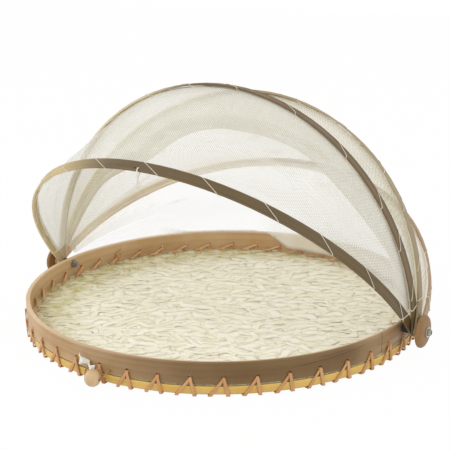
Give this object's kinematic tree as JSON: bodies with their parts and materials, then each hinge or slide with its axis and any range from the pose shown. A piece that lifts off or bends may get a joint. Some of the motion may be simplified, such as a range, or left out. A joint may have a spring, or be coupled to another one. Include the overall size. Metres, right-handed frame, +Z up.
{
  "type": "folding mesh food cover",
  "caption": "Round bamboo tray with a folding net cover on bent bamboo bows, to keep insects off food.",
  "frame": {"origin": "centre of the tray's woven floor, on its upper face", "axes": "+X along the hinge bolts, towards the right hand of someone facing the front; +Y to the rear, where the cover folds back to; +Z up"},
  "size_m": [0.4562, 0.4301, 0.2375],
  "materials": {
    "rim_bamboo": "bent bamboo strip, lightly varnished",
    "hoop_bamboo": "golden bamboo strip, lightly varnished",
    "split_bamboo_mat": "woven split bamboo, bare",
    "lacing_cane": "flat cane, satin",
    "bow_bamboo": "bent bamboo strip, bare",
    "net": "fine open mesh",
    "turned_wood": "turned, bare",
    "plated_steel": "plated",
    "spacer_rubber": "black, dull",
    "cotton": "twisted cotton thread"
  },
  "bodies": {
    "tray": {"rim_hoop": "rim_bamboo", "lower_hoop": "hoop_bamboo", "floor_mat": "split_bamboo_mat", "rim_lacing": "lacing_cane", "rim_spacer_right": "spacer_rubber", "inner_washer_right": "plated_steel", "hinge_nut_right": "plated_steel", "hinge_bolt_right": "plated_steel", "wooden_disc_right": "turned_wood", "disc_ferrule_right": "plated_steel", "rim_spacer_left": "spacer_rubber", "inner_washer_left": "plated_steel", "hinge_nut_left": "plated_steel", "hinge_bolt_left": "plated_steel", "wooden_disc_left": "turned_wood", "disc_ferrule_left": "plated_steel", "closing_bead": "turned_wood", "bead_tie": "cotton"},
    "bow_rear": {"bow_rear": "bow_bamboo", "net_rear": "net"},
    "bow_third": {"bow_third": "bow_bamboo", "net_third": "net"},
    "bow_second": {"bow_second": "bow_bamboo", "net_second": "net"},
    "bow_front": {"bow_front": "bow_bamboo", "net_front": "net", "closing_loop": "cotton"}
  },
  "joints": [
    {"name": "rear_bow_fold", "type": "hinge", "parent": "tray", "child": "bow_rear", "pos_m": [0, 0, 0.014], "axis": [-1, 0, 0], "range_deg": [-14, 21], "deforming": ["net_rear", "net_third"]},
    {"name": "third_bow_fold", "type": "hinge", "parent": "bow_rear", "child": "bow_third", "pos_m": [0, 0, 0.014], "axis": [-1, 0, 0], "range_deg": [-8.5, 32.5], "deforming": ["net_third", "net_second"]},
    {"name": "second_bow_fold", "type": "hinge", "parent": "bow_third", "child": "bow_second", "pos_m": [0, 0, 0.014], "axis": [-1, 0, 0], "range_deg": [-23.5, 17.5], "deforming": ["net_second", "net_front"]},
    {"name": "front_bow_fold", "type": "hinge", "parent": "bow_second", "child": "bow_front", "pos_m": [0, 0, 0.014], "axis": [-1, 0, 0], "range_deg": [-2, 39], "deforming": ["net_front", "closing_loop"]}
  ]
}
